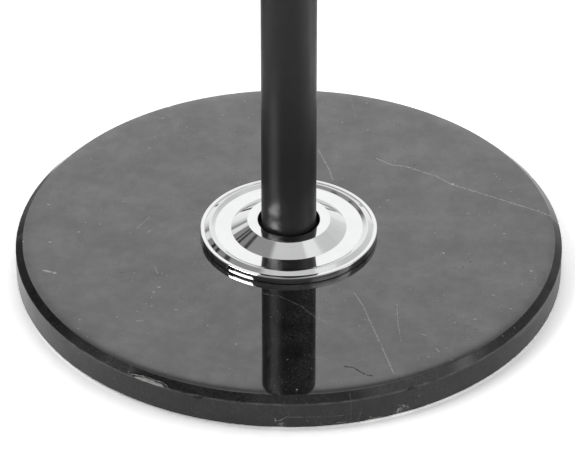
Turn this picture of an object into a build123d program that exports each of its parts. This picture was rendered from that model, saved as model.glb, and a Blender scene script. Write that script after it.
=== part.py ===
from build123d import *
from math import isclose, radians, sqrt, tan
import os

# A free-standing paper towel holder: a round polished stone base, a stepped bright rosette that
# seats the roll, and a black tube that turns freely on a fixed steel rod under a ball finial.
# Millimetres, +Z up. The origin is on the table, at the centre of the base.

# Stone base
stone_diameter = 190.0
stone_thickness = 12.2
stone_edge_chamfer = 2.5
stone_foot_chamfer = 0.6

# Rubber feet, set into blind pockets in the underside of the stone
foot_count = 4
foot_diameter = 14.0
foot_inset = 22.0
foot_pocket_depth = 2.0
foot_proud = 1.4
foot_edge_radius = 0.5

# Screw joint under the stone, on the lower stud of the rod
stud_diameter = 6.0
fibre_washer_thickness = 0.8
clamp_washer_diameter = 24.0
clamp_washer_thickness = 1.6
spring_washer_diameter = 11.8
spring_washer_thickness = 1.6
spring_washer_slit = 1.2
nut_across_flats = 10.0
nut_thickness = 3.2
nut_corner_angle = 30.0
stud_end_chamfer = 0.6
recess_margin = 0.3
centring_bush_diameter = 11.0

# Rosette: ring widths from the bore outwards, heights from its own underside
gasket_thickness = 0.2
gasket_inset = 0.5
rosette_floor = 1.9
rosette_bore_gap = 1.2
land_width = 3.7
cone_width = 5.6
seat_width = 5.7
bead_inner_width = 1.65
bead_outer_width = 1.85
bead_rise = 0.8
bead_edge_radius = 0.8
lip_step_width = 0.2
lip_width = 1.4
lip_height = 2.4
lip_step = 0.2
lip_edge_radius = 0.35
seat_rise = 0.1
cone_rise = 3.3
bore_edge_radius = 0.25
cavity_height = 1.2
cavity_hub_wall = 2.5
cavity_rim_inset = 1.0

# Turning tube, with both ends rolled in over its bushes
tube_diameter = 19.05
tube_wall = 1.5
tube_length = 286.0
tube_end_radius = 2.5
tube_end_lip = 0.3

# Rod and bearings: the rod fills the tube but for the wall of its bushes
bush_wall = 3.5
collar_height = 1.6
thrust_washer_thickness = 1.2
thrust_washer_gap = 0.5
bush_length = 14.0
bush_edge_gap = 0.3
bush_bore_chamfer = 0.5
running_clearance = 0.05
end_play = 0.3

# Cap over the top of the tube
cap_overlap = 2.5
cap_hub_drop = 1.0
cap_roof = 3.0
cap_rim_width = 3.2
cap_rim_height = 2.0
cap_rim_edge = 0.6
cap_step = 0.8
cap_dome_bulge = 1.2
cap_ledge = 0.6

# Ball finial
finial_foot_diameter = 14.8
finial_foot_web = 1.4
finial_foot_edge = 0.5
finial_neck_diameter = 10.0
finial_neck_height = 2.5
finial_cove_radius = 0.8
finial_ball_diameter = 28.0
finial_thread_length = 12.0
finial_thread_relief = 1.0

# Shared clearances, each on the radius
glue_gap = 0.1
stud_hole_gap = 0.2
thread_gap = 0.03
washer_hole_gap = 0.15
recess_gap = 0.5

# Radii worked out from the sizes above
stone_radius = stone_diameter / 2
foot_radius = foot_diameter / 2
foot_circle_radius = stone_radius - foot_inset
stud_radius = stud_diameter / 2
stud_hole_radius = stud_radius + stud_hole_gap
clamp_washer_radius = clamp_washer_diameter / 2
spring_washer_radius = spring_washer_diameter / 2
recess_radius = clamp_washer_radius + recess_gap
centring_bush_radius = centring_bush_diameter / 2
tube_radius = tube_diameter / 2
tube_bore_radius = tube_radius - tube_wall
tube_curl_radius = tube_end_radius - tube_wall
tube_bend_radius = tube_radius - tube_end_radius
tube_mouth_radius = tube_bend_radius - tube_end_lip
well_radius = tube_radius + rosette_bore_gap
land_radius = well_radius + land_width
cone_foot_radius = land_radius + cone_width
seat_radius = cone_foot_radius + seat_width
bead_crest_radius = seat_radius + bead_inner_width
groove_radius = bead_crest_radius + bead_outer_width
lip_foot_radius = groove_radius + lip_step_width
rosette_radius = lip_foot_radius + lip_width
bush_bore_radius = tube_bore_radius - bush_wall
rod_radius = bush_bore_radius - running_clearance
thrust_washer_radius = tube_mouth_radius - thrust_washer_gap
cap_radius = well_radius + cap_rim_width
finial_foot_radius = finial_foot_diameter / 2
cap_flat_radius = finial_foot_radius + cap_ledge
finial_neck_radius = finial_neck_diameter / 2
finial_ball_radius = finial_ball_diameter / 2

# Heights above the table, from the bottom of the stack to the top
clamp_stack = fibre_washer_thickness + clamp_washer_thickness + spring_washer_thickness + nut_thickness
recess_depth = clamp_stack + recess_margin
stone_low = foot_proud
stone_high = stone_low + stone_thickness
recess_roof = stone_low + recess_depth
fibre_washer_low = recess_roof - fibre_washer_thickness
clamp_washer_low = fibre_washer_low - clamp_washer_thickness
spring_washer_low = clamp_washer_low - spring_washer_thickness
nut_low = spring_washer_low - nut_thickness
rosette_low = stone_high + gasket_thickness
lip_high = rosette_low + lip_height
groove_high = lip_high - lip_step
seat_high = lip_high + seat_rise
bead_high = seat_high + bead_rise
boss_high = seat_high + cone_rise
floor_high = rosette_low + rosette_floor
collar_high = floor_high + collar_height
lower_bush_low = collar_high + thrust_washer_thickness + running_clearance
tube_low = lower_bush_low - tube_wall
tube_high = tube_low + tube_length
tube_bend_low = tube_low + tube_end_radius
tube_bend_high = tube_high - tube_end_radius
upper_bush_high = tube_high - tube_wall
upper_washer_low = upper_bush_high + end_play
shoulder_high = upper_washer_low + thrust_washer_thickness
cap_low = tube_high - cap_overlap
cap_well_roof = shoulder_high + cap_hub_drop
cap_high = cap_well_roof + cap_roof
finial_recess_roof = cap_high + spring_washer_thickness
finial_neck_low = finial_recess_roof + finial_foot_web
ball_low = finial_neck_low + finial_neck_height
ball_centre = ball_low + sqrt(finial_ball_radius**2 - finial_neck_radius**2)
ball_high = ball_centre + finial_ball_radius
upper_stud_high = cap_high + finial_thread_length

os.makedirs("parts", exist_ok=True)


def save(part, name):
    """Label a finished piece and write it to its own file."""
    part.label = name
    export_step(part, f"parts/{name}.step")


def flat_ring(low, thickness, inner_radius, outer_radius):
    """A plain washer around the Z axis, with its underside at the height low."""
    with BuildPart() as ring:
        with BuildSketch(Plane.XY.offset(low)):
            Circle(outer_radius)
            Circle(inner_radius, mode=Mode.SUBTRACT)
        extrude(amount=thickness)
    return ring.part


def split_spring_washer(low):
    """A split spring washer, tightened flat, with its underside at the height low."""
    with BuildPart() as washer:
        with BuildSketch(Plane.XY.offset(low)):
            Circle(spring_washer_radius)
            Circle(stud_radius + washer_hole_gap, mode=Mode.SUBTRACT)
            with Locations((spring_washer_radius / 2, 0)):
                Rectangle(spring_washer_radius, spring_washer_slit, mode=Mode.SUBTRACT)
        extrude(amount=spring_washer_thickness)
    return washer.part


def tube_bush(rolled_end, inward):
    """A plastic bush in one end of the tube: inward is +1 at the lower end and -1 at the upper."""
    edge = tube_curl_radius + bush_edge_gap
    far_end = rolled_end + inward * bush_length
    with BuildPart() as bush:
        with BuildSketch(Plane.XZ):
            with BuildLine():
                Polyline(
                    (bush_bore_radius + bush_bore_chamfer, rolled_end),
                    (tube_bore_radius - edge, rolled_end),
                    (tube_bore_radius, rolled_end + inward * edge),
                    (tube_bore_radius, far_end),
                    (bush_bore_radius + bush_bore_chamfer, far_end),
                    (bush_bore_radius, far_end - inward * bush_bore_chamfer),
                    (bush_bore_radius, rolled_end + inward * bush_bore_chamfer),
                    close=True,
                )
            make_face()
        revolve(axis=Axis.Z)
    return bush.part


# Stone disc: bevelled top rim, eased bottom rim, stud bore, screw recess and foot pockets
with BuildPart() as stone_base:
    with BuildSketch(Plane.XY.offset(stone_low)):
        Circle(stone_radius)
    extrude(amount=stone_thickness)
    chamfer(stone_base.edges().filter_by(GeomType.CIRCLE).sort_by(Axis.Z)[-1], stone_edge_chamfer)
    chamfer(stone_base.edges().filter_by(GeomType.CIRCLE).sort_by(Axis.Z)[0], stone_foot_chamfer)
    with Locations(Plane.XY.offset(stone_high)):
        Hole(centring_bush_radius + glue_gap, depth=stone_thickness)
    with BuildSketch(Plane.XY.offset(stone_low)):
        Circle(recess_radius)
    extrude(amount=recess_depth, mode=Mode.SUBTRACT)
    with BuildSketch(Plane.XY.offset(stone_low)):
        with PolarLocations(foot_circle_radius, foot_count, start_angle=180 / foot_count):
            Circle(foot_radius + glue_gap)
    extrude(amount=foot_pocket_depth, mode=Mode.SUBTRACT)
save(stone_base.part, "stone_base")

# Rubber feet, numbered anticlockwise from the front right
for number in range(foot_count):
    with BuildPart() as rubber_foot:
        with BuildSketch(Plane.XY):
            with PolarLocations(foot_circle_radius, 1, start_angle=(360 * number - 180) / foot_count):
                Circle(foot_radius)
        extrude(amount=foot_proud + foot_pocket_depth)
        fillet(rubber_foot.edges().group_by(Axis.Z)[0], foot_edge_radius)
    save(rubber_foot.part, f"rubber_foot_{number + 1}")

# Screw joint in the recess: bush in the stone, fibre washer, wide washer, spring washer and nut
save(
    flat_ring(recess_roof, stone_high - recess_roof, stud_hole_radius, centring_bush_radius),
    "centring_bush",
)
save(
    flat_ring(fibre_washer_low, fibre_washer_thickness, stud_hole_radius, clamp_washer_radius),
    "fibre_washer",
)
save(
    flat_ring(clamp_washer_low, clamp_washer_thickness, stud_hole_radius, clamp_washer_radius),
    "clamp_washer",
)
save(split_spring_washer(spring_washer_low), "spring_washer")

# Nut: a hexagon with both rims of its corners turned off at an angle
nut_corner_radius = nut_across_flats / sqrt(3)
nut_corner_drop = (nut_corner_radius - nut_across_flats / 2) * tan(radians(nut_corner_angle))
with BuildPart() as clamp_nut:
    with BuildSketch(Plane.XY.offset(nut_low)):
        RegularPolygon(nut_across_flats / 2, 6, major_radius=False)
        Circle(stud_radius + thread_gap, mode=Mode.SUBTRACT)
    extrude(amount=nut_thickness)
    with BuildSketch(Plane.XZ):
        with BuildLine():
            Polyline(
                (0, nut_low),
                (nut_across_flats / 2, nut_low),
                (nut_corner_radius, nut_low + nut_corner_drop),
                (nut_corner_radius, spring_washer_low - nut_corner_drop),
                (nut_across_flats / 2, spring_washer_low),
                (0, spring_washer_low),
                close=True,
            )
        make_face()
    revolve(axis=Axis.Z, mode=Mode.INTERSECT)
save(clamp_nut.part, "clamp_nut")

# Soft ring between the rosette and the stone
gasket_radius = rosette_radius - gasket_inset
save(flat_ring(stone_high, gasket_thickness, stud_hole_radius, gasket_radius), "rosette_gasket")

# Rosette: flat lip, shallow groove, raised bead, flat roll seat, centring cone and a bored boss
rosette_round_edges = (
    (bead_crest_radius, bead_high, bead_edge_radius),
    (rosette_radius, lip_high, lip_edge_radius),
    (well_radius, boss_high, bore_edge_radius),
)
with BuildPart() as rosette:
    with BuildSketch(Plane.XZ) as rosette_section:
        with BuildLine():
            Polyline(
                (well_radius, floor_high),
                (stud_hole_radius, floor_high),
                (stud_hole_radius, rosette_low),
                (well_radius + cavity_hub_wall, rosette_low),
                (well_radius + cavity_hub_wall, rosette_low + cavity_height),
                (seat_radius - cavity_rim_inset, rosette_low + cavity_height),
                (seat_radius - cavity_rim_inset, rosette_low),
                (rosette_radius, rosette_low),
                (rosette_radius, lip_high),
                (lip_foot_radius, lip_high),
                (groove_radius, groove_high),
                (bead_crest_radius, bead_high),
                (seat_radius, seat_high),
                (cone_foot_radius, seat_high),
                (land_radius, boss_high),
                (well_radius, boss_high),
                close=True,
            )
        make_face()
        for edge_place, edge_height, edge_radius in rosette_round_edges:
            corners = rosette_section.vertices().sort_by_distance((edge_place, edge_height, 0))
            fillet(corners[0], edge_radius)
    revolve(axis=Axis.Z)
save(rosette.part, "rosette")

# Rod: lower stud, collar on the rosette's floor, plain bearing length, shoulder and upper stud
with BuildPart() as spindle_rod:
    with BuildSketch(Plane.XZ):
        with BuildLine():
            Polyline(
                (0, nut_low),
                (stud_radius - stud_end_chamfer, nut_low),
                (stud_radius, nut_low + stud_end_chamfer),
                (stud_radius, floor_high),
                (thrust_washer_radius, floor_high),
                (thrust_washer_radius, collar_high),
                (rod_radius, collar_high),
                (rod_radius, shoulder_high),
                (stud_radius, shoulder_high),
                (stud_radius, upper_stud_high - stud_end_chamfer),
                (stud_radius - stud_end_chamfer, upper_stud_high),
                (0, upper_stud_high),
                close=True,
            )
        make_face()
    revolve(axis=Axis.Z)
save(spindle_rod.part, "spindle_rod")

# Thrust washers: the tube stands on the lower one, and the upper one stops it lifting
washer_bore_radius = rod_radius + washer_hole_gap
save(
    flat_ring(collar_high, thrust_washer_thickness, washer_bore_radius, thrust_washer_radius),
    "lower_thrust_washer",
)
save(
    flat_ring(upper_washer_low, thrust_washer_thickness, washer_bore_radius, thrust_washer_radius),
    "upper_thrust_washer",
)

# Turning tube and the bushes that its rolled ends hold
with BuildPart() as tube:
    with BuildSketch(Plane.XZ):
        with BuildLine():
            Line((tube_radius, tube_bend_low), (tube_radius, tube_bend_high))
            RadiusArc(
                (tube_radius, tube_bend_high),
                (tube_bend_radius, tube_high),
                -tube_end_radius,
            )
            Polyline(
                (tube_bend_radius, tube_high),
                (tube_mouth_radius, tube_high),
                (tube_mouth_radius, upper_bush_high),
                (tube_bend_radius, upper_bush_high),
            )
            RadiusArc(
                (tube_bend_radius, upper_bush_high),
                (tube_bore_radius, tube_bend_high),
                tube_curl_radius,
            )
            Line((tube_bore_radius, tube_bend_high), (tube_bore_radius, tube_bend_low))
            RadiusArc(
                (tube_bore_radius, tube_bend_low),
                (tube_bend_radius, lower_bush_low),
                tube_curl_radius,
            )
            Polyline(
                (tube_bend_radius, lower_bush_low),
                (tube_mouth_radius, lower_bush_low),
                (tube_mouth_radius, tube_low),
                (tube_bend_radius, tube_low),
            )
            RadiusArc(
                (tube_bend_radius, tube_low),
                (tube_radius, tube_bend_low),
                -tube_end_radius,
            )
        make_face()
    revolve(axis=Axis.Z)
save(tube.part, "tube")
save(tube_bush(lower_bush_low, 1), "lower_bush")
save(tube_bush(upper_bush_high, -1), "upper_bush")

# Cap: a domed bell whose rim hides the top end of the tube and whose hub sits on the rod's shoulder
with BuildPart() as top_cap:
    with BuildSketch(Plane.XZ):
        with BuildLine():
            Polyline(
                (cap_flat_radius, cap_high),
                (stud_hole_radius, cap_high),
                (stud_hole_radius, shoulder_high),
                (thrust_washer_radius, shoulder_high),
                (thrust_washer_radius, cap_well_roof),
                (well_radius, cap_well_roof),
                (well_radius, cap_low),
                (cap_radius, cap_low),
                (cap_radius, cap_low + cap_rim_height),
                (cap_radius - cap_step, cap_low + cap_rim_height),
            )
            SagittaArc(
                (cap_radius - cap_step, cap_low + cap_rim_height),
                (cap_flat_radius, cap_high),
                -cap_dome_bulge,
            )
        make_face()
    revolve(axis=Axis.Z)
    rim_circles = top_cap.edges().filter_by(GeomType.CIRCLE).group_by(SortBy.RADIUS)[-1]
    fillet(rim_circles, cap_rim_edge)
save(top_cap.part, "top_cap")
save(split_spring_washer(cap_high), "finial_spring_washer")

# Finial: foot over the spring washer, waisted neck and ball, with a blind threaded hole
with BuildPart() as finial:
    with BuildSketch(Plane.XZ):
        with BuildLine():
            Polyline(
                (0, ball_high),
                (0, upper_stud_high + finial_thread_relief),
                (stud_radius + thread_gap, upper_stud_high + finial_thread_relief),
                (stud_radius + thread_gap, finial_recess_roof),
                (spring_washer_radius + washer_hole_gap, finial_recess_roof),
                (spring_washer_radius + washer_hole_gap, cap_high),
                (finial_foot_radius, cap_high),
                (finial_foot_radius, finial_neck_low),
                (finial_neck_radius, finial_neck_low),
                (finial_neck_radius, ball_low),
            )
            ThreePointArc(
                (finial_neck_radius, ball_low),
                (finial_ball_radius, ball_centre),
                (0, ball_high),
            )
        make_face()
    revolve(axis=Axis.Z)
    circles = finial.edges().filter_by(GeomType.CIRCLE)
    fillet(circles.filter_by(lambda rim: isclose(rim.radius, finial_foot_radius)), finial_foot_edge)
    circles = finial.edges().filter_by(GeomType.CIRCLE)
    fillet(circles.filter_by(lambda rim: isclose(rim.radius, finial_neck_radius)), finial_cove_radius)
save(finial.part, "finial")
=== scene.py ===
"""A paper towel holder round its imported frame: stone base, bright rosette, black tube and ball finial."""
import logging
import math
from collections.abc import Iterable
from dataclasses import dataclass, field, replace
from enum import Enum
from typing import Any

import bmesh
import bpy
from mathutils import Matrix, Vector, noise


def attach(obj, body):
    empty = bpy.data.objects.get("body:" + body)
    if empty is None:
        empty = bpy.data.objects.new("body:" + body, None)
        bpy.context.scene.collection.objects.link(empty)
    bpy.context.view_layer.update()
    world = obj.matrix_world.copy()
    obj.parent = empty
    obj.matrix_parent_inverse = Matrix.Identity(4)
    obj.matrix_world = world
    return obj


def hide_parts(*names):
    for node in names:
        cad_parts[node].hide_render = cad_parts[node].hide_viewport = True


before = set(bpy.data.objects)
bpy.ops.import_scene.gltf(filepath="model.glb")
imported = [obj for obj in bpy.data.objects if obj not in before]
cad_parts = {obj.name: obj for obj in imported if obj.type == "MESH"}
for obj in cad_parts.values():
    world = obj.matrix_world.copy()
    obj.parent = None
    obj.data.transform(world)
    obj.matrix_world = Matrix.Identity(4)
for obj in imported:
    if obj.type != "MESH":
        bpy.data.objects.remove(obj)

MM = 0.001
WELD = 0.002 * MM
SPIN_DOUBLINGS = 3
LOG = logging.getLogger("towel_holder")
Colour = tuple[float, float, float, float]
Place = tuple[float, float, float]
Mesh = bmesh.types.BMesh
Piece = bpy.types.Object
Material = bpy.types.Material
Node = bpy.types.Node
Tree = bpy.types.NodeTree
Socket = bpy.types.NodeSocket


def grey(level: float, warm: float = 0.0) -> Colour:
    """A near-neutral linear colour; warm above 0 leans to red and below 0 to blue."""
    return (level * (1 + warm), level, level * (1 - warm), 1.0)


class Body(Enum):
    """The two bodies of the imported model."""

    STAND = "stand"
    TUBE = "turning_tube"


class Slot(Enum):
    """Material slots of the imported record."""

    STONE = "black_marble"
    CHROME = "polished_chrome"
    COAT = "black_coat"


class Arris(Enum):
    """The three rims of the stone that can chip."""

    UPPER = "inner rim of the bevel"
    LOWER = "outer rim of the bevel"
    FOOT = "bottom rim"


# Outlines and turned meshes


@dataclass
class Outline:
    """Half section of a turned piece in millimetres: radius, height and rounding of each corner."""

    corners: list[Place] = field(default_factory=list)

    def to(self, radius: float, height: float, rounding: float = 0.0) -> "Outline":
        """Go straight to a corner, which may be rounded."""
        self.corners.append((radius, height, rounding))
        return self

    def crowd(self, radius: float, height: float, parts: int, rounding: float = 0.0) -> "Outline":
        """Go straight to a corner in parts that are shortest at both ends.

        Args:
            radius: Radius of the corner.
            height: Height of the corner.
            parts: How many parts the way has.
            rounding: Rounding of the corner.

        Returns:
            This outline, longer by the parts.
        """
        old_radius, old_height, _ = self.corners[-1]
        for step in range(1, parts):
            share = (1 - math.cos(math.pi * step / parts)) / 2
            self.to(old_radius + (radius - old_radius) * share, old_height + (height - old_height) * share)
        return self.to(radius, height, rounding)

    def arc(
        self, centre: tuple[float, float], radius: float, start: float, end: float, parts: int
    ) -> "Outline":
        """Go round part of a circle.

        Args:
            centre: Radius and height of the circle's centre.
            radius: The circle's own radius.
            start: First angle in degrees, 0 pointing outwards and 90 up.
            end: Last angle in degrees.
            parts: How many straight parts stand for the arc.

        Returns:
            This outline, longer by the arc.
        """
        for step in range(parts + 1):
            angle = math.radians(start + (end - start) * step / parts)
            self.to(centre[0] + radius * math.cos(angle), centre[1] + radius * math.sin(angle))
        return self

    def bulge(self, radius: float, height: float, rise: float, parts: int) -> "Outline":
        """Go from the last corner to a new one along an arc that stands off its chord.

        Args:
            radius: Radius of the new corner.
            height: Height of the new corner.
            rise: How far the arc stands off the chord, to the right of the way.
            parts: How many straight parts stand for the arc.

        Returns:
            This outline, longer by the arc.
        """
        start, end = Vector(self.corners[-1][:2]), Vector((radius, height))
        chord = end - start
        across = Vector((chord.y, -chord.x)).normalized()
        arc_radius = chord.length_squared / (8 * rise) + rise / 2
        centre = (start + end) / 2 - across * (arc_radius - rise)
        first, last = start - centre, end - centre
        sweep = first.angle_signed(last)
        for step in range(1, parts + 1):
            turned = Matrix.Rotation(-sweep * step / parts, 2) @ first
            self.to(centre.x + turned.x, centre.y + turned.y)
        return self

    def rounded(self, closed: bool, parts: int = 7) -> list[tuple[float, float]]:
        """Replace each rounded corner by a tangent arc.

        Args:
            closed: Whether the last corner joins the first.
            parts: Straight parts in each arc.

        Returns:
            Radius and height of every point of the finished outline.
        """
        points: list[tuple[float, float]] = []
        count = len(self.corners)
        for index, (radius, height, rounding) in enumerate(self.corners):
            at_end = not closed and index in (0, count - 1)
            if rounding <= 0 or at_end:
                points.append((radius, height))
                continue
            corner = Vector((radius, height))
            back = (Vector(self.corners[index - 1][:2]) - corner).normalized()
            ahead = (Vector(self.corners[(index + 1) % count][:2]) - corner).normalized()
            half = back.angle(ahead) / 2
            centre = corner + (back + ahead).normalized() * (rounding / math.sin(half))
            first = corner + back * (rounding / math.tan(half)) - centre
            last = corner + ahead * (rounding / math.tan(half)) - centre
            for step in range(parts + 1):
                spoke = first.lerp(last, step / parts).normalized() * rounding
                points.append((centre.x + spoke.x, centre.y + spoke.y))
        return points

    def turn(self, steps: int, closed: bool = True) -> Mesh:
        """Spin the outline once round the Z axis: one part of the turn, doubled until it is whole.

        Args:
            steps: Faces in one turn, a multiple of 8.
            closed: Whether the outline is a ring of its own, or runs from axis to axis.

        Returns:
            A closed, outward-facing bmesh in metres.
        """
        mesh = bmesh.new()
        rim = [mesh.verts.new((radius * MM, 0.0, height * MM)) for radius, height in self.rounded(closed)]
        pairs = zip(rim, rim[1:] + rim[:1]) if closed else zip(rim, rim[1:])
        edges = [mesh.edges.new(pair) for pair in pairs]
        angle = math.tau / 2**SPIN_DOUBLINGS
        bmesh.ops.spin(
            mesh, geom=rim + edges, axis=(0, 0, 1), cent=(0, 0, 0), angle=angle,
            steps=steps // 2**SPIN_DOUBLINGS, use_merge=False,
        )
        for doubling in range(SPIN_DOUBLINGS):
            copied = bmesh.ops.duplicate(mesh, geom=mesh.verts[:] + mesh.edges[:] + mesh.faces[:])["geom"]
            moved = [item for item in copied if isinstance(item, bmesh.types.BMVert)]
            rotation = Matrix.Rotation(angle * 2**doubling, 3, "Z")
            bmesh.ops.rotate(mesh, verts=moved, cent=(0, 0, 0), matrix=rotation)
        bmesh.ops.remove_doubles(mesh, verts=mesh.verts, dist=WELD)
        bmesh.ops.recalc_face_normals(mesh, faces=mesh.faces)
        return mesh


def smooth_with_creases(mesh: Mesh, limit: float = 28.0) -> None:
    """Shade a mesh smooth, apart from its creases.

    Args:
        mesh: The mesh to shade.
        limit: Angle in degrees from which two faces meet in a crease.
    """
    for face in mesh.faces:
        face.smooth = True
    for edge in mesh.edges:
        edge.smooth = edge.calc_face_angle(0.0) < math.radians(limit)


def as_object(mesh: Mesh, name: str) -> Piece:
    """Turn a finished bmesh into an object at the origin.

    Args:
        mesh: The bmesh, which is freed.
        name: Name of the object and its mesh.

    Returns:
        The new object, linked to the scene.
    """
    data = bpy.data.meshes.new(name)
    mesh.to_mesh(data)
    mesh.free()
    piece = bpy.data.objects.new(name, data)
    bpy.context.scene.collection.objects.link(piece)
    return piece


def cut_away(piece: Piece, cutter: Piece) -> Mesh:
    """Subtract one object from another and remove both.

    Args:
        piece: The object that is cut.
        cutter: The object whose volume goes.

    Returns:
        The cut shape as a bmesh.
    """
    cut = piece.modifiers.new("cut", "BOOLEAN")
    cut.operation, cut.solver, cut.object = "DIFFERENCE", "EXACT", cutter
    evaluated = piece.evaluated_get(bpy.context.evaluated_depsgraph_get())
    mesh = bmesh.new()
    mesh.from_mesh(evaluated.to_mesh())
    evaluated.to_mesh_clear()
    for done in (piece, cutter):
        data = done.data
        bpy.data.objects.remove(done)
        bpy.data.meshes.remove(data)
    return mesh


# Node trees


class NodeGraph:
    """A node tree with short calls for the nodes that the finishes are made of."""

    def __init__(self, tree: Tree) -> None:
        """Keep the tree that the calls add to."""
        self.tree = tree

    def feed(self, socket: Socket, value: Any) -> None:
        """Link a socket to another, or set its plain value.

        Args:
            socket: The input that is fed.
            value: An output to link, or a plain value.
        """
        if isinstance(value, Socket):
            self.tree.links.new(value, socket)
        else:
            socket.default_value = value

    def add(self, kind: str, given: Iterable[tuple[Any, Any]] = (), **settings: Any) -> Node:
        """Add a node.

        Args:
            kind: The node's type.
            given: Name or number of an input, and what it takes.
            **settings: The node's own properties.

        Returns:
            The new node.
        """
        node = self.tree.nodes.new(kind)
        for name, value in settings.items():
            setattr(node, name, value)
        for key, value in given:
            self.feed(node.inputs[key], value)
        return node

    def math(self, operation: str, *values: Any, clamp: bool = False) -> Socket:
        """Result of a Math node."""
        return self.add("ShaderNodeMath", enumerate(values), operation=operation, use_clamp=clamp).outputs[0]

    def vector(self, operation: str, *values: Any) -> Socket:
        """Vector of a Vector Math node, or its value where it has only that."""
        outputs = self.add("ShaderNodeVectorMath", enumerate(values), operation=operation).outputs
        return outputs["Value" if operation in ("DOT_PRODUCT", "DISTANCE", "LENGTH") else "Vector"]

    def scaled(self, vector: Any, scale: Any) -> Socket:
        """A vector times one factor."""
        given = ((0, vector), ("Scale", scale))
        return self.add("ShaderNodeVectorMath", given, operation="SCALE").outputs["Vector"]

    def ease(self, value: Any, start: Any, end: Any, low: Any = 0.0, high: Any = 1.0) -> Socket:
        """Smooth step of a value from low at start to high at end."""
        given = enumerate((value, start, end, low, high))
        return self.add("ShaderNodeMapRange", given, interpolation_type="SMOOTHSTEP").outputs[0]

    def mix(self, share: Any, first: Any, second: Any) -> Socket:
        """Two colours, mixed by a share."""
        given = ((0, share), (6, first), (7, second))
        return self.add("ShaderNodeMix", given, data_type="RGBA").outputs[2]

    def lerp(self, share: Any, first: Any, second: Any) -> Socket:
        """Two numbers, mixed by a share."""
        given = ((0, share), (2, first), (3, second))
        return self.add("ShaderNodeMix", given, data_type="FLOAT").outputs[0]

    def noise(self, point: Any, scale: Any, detail: float = 2.0, colour: bool = False) -> Socket:
        """Value of a noise texture, or its colour."""
        given = (("Vector", point), ("Scale", scale), ("Detail", detail))
        return self.add("ShaderNodeTexNoise", given).outputs["Color" if colour else 0]

    def cells(self, point: Any, size: Any) -> tuple[Socket, Any]:
        """Random cells.

        Args:
            point: Place on the piece.
            size: How far the cells' middles are apart.

        Returns:
            Distance to the nearest middle, and three random draws for each cell.
        """
        given = (("Vector", point), ("Scale", self.math("DIVIDE", 1.0, size)))
        cells = self.add("ShaderNodeTexVoronoi", given).outputs
        draws = self.add("ShaderNodeSeparateColor", ((0, cells["Color"]),))
        return cells["Distance"], draws.outputs

    def place(self, group: Tree, output: str, **values: Any) -> Socket:
        """One output of a node group, whose inputs take the values of their names."""
        given = ((name.replace("_", " ").title(), value) for name, value in values.items())
        return self.add("ShaderNodeGroup", given, node_tree=group).outputs[output]

    def in_millimetres(self) -> Socket:
        """The piece's own coordinates, in millimetres."""
        return self.scaled(self.add("ShaderNodeTexCoord").outputs["Object"], 1 / MM)

    def rays(self) -> tuple[Socket, Socket]:
        """Whether a ray comes from the camera, and whether it comes from a mirror or from glass."""
        kinds = self.add("ShaderNodeLightPath").outputs
        mirrored = self.math("MAXIMUM", kinds["Is Glossy Ray"], kinds["Is Transmission Ray"])
        return kinds["Is Camera Ray"], mirrored


def new_group(name: str, inputs: str, outputs: str) -> tuple[NodeGraph, dict[str, Socket], Any]:
    """Start a shader node group.

    Args:
        name: Name of the group.
        inputs: Names of its inputs, parted by commas, a vector's with a star before it.
        outputs: Names of its outputs, in the same way.

    Returns:
        The group's graph, its inputs by name and the sockets that its outputs take.
    """
    tree = bpy.data.node_groups.new(name, "ShaderNodeTree")
    for way, labels in (("INPUT", inputs), ("OUTPUT", outputs)):
        for label in labels.split(", "):
            kind = "NodeSocketVector" if label.startswith("*") else "NodeSocketFloat"
            tree.interface.new_socket(label.lstrip("*"), in_out=way, socket_type=kind)
    graph = NodeGraph(tree)
    entry, leave = graph.add("NodeGroupInput"), graph.add("NodeGroupOutput")
    return graph, {socket.name: socket for socket in entry.outputs if socket.name}, leave.inputs


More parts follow.
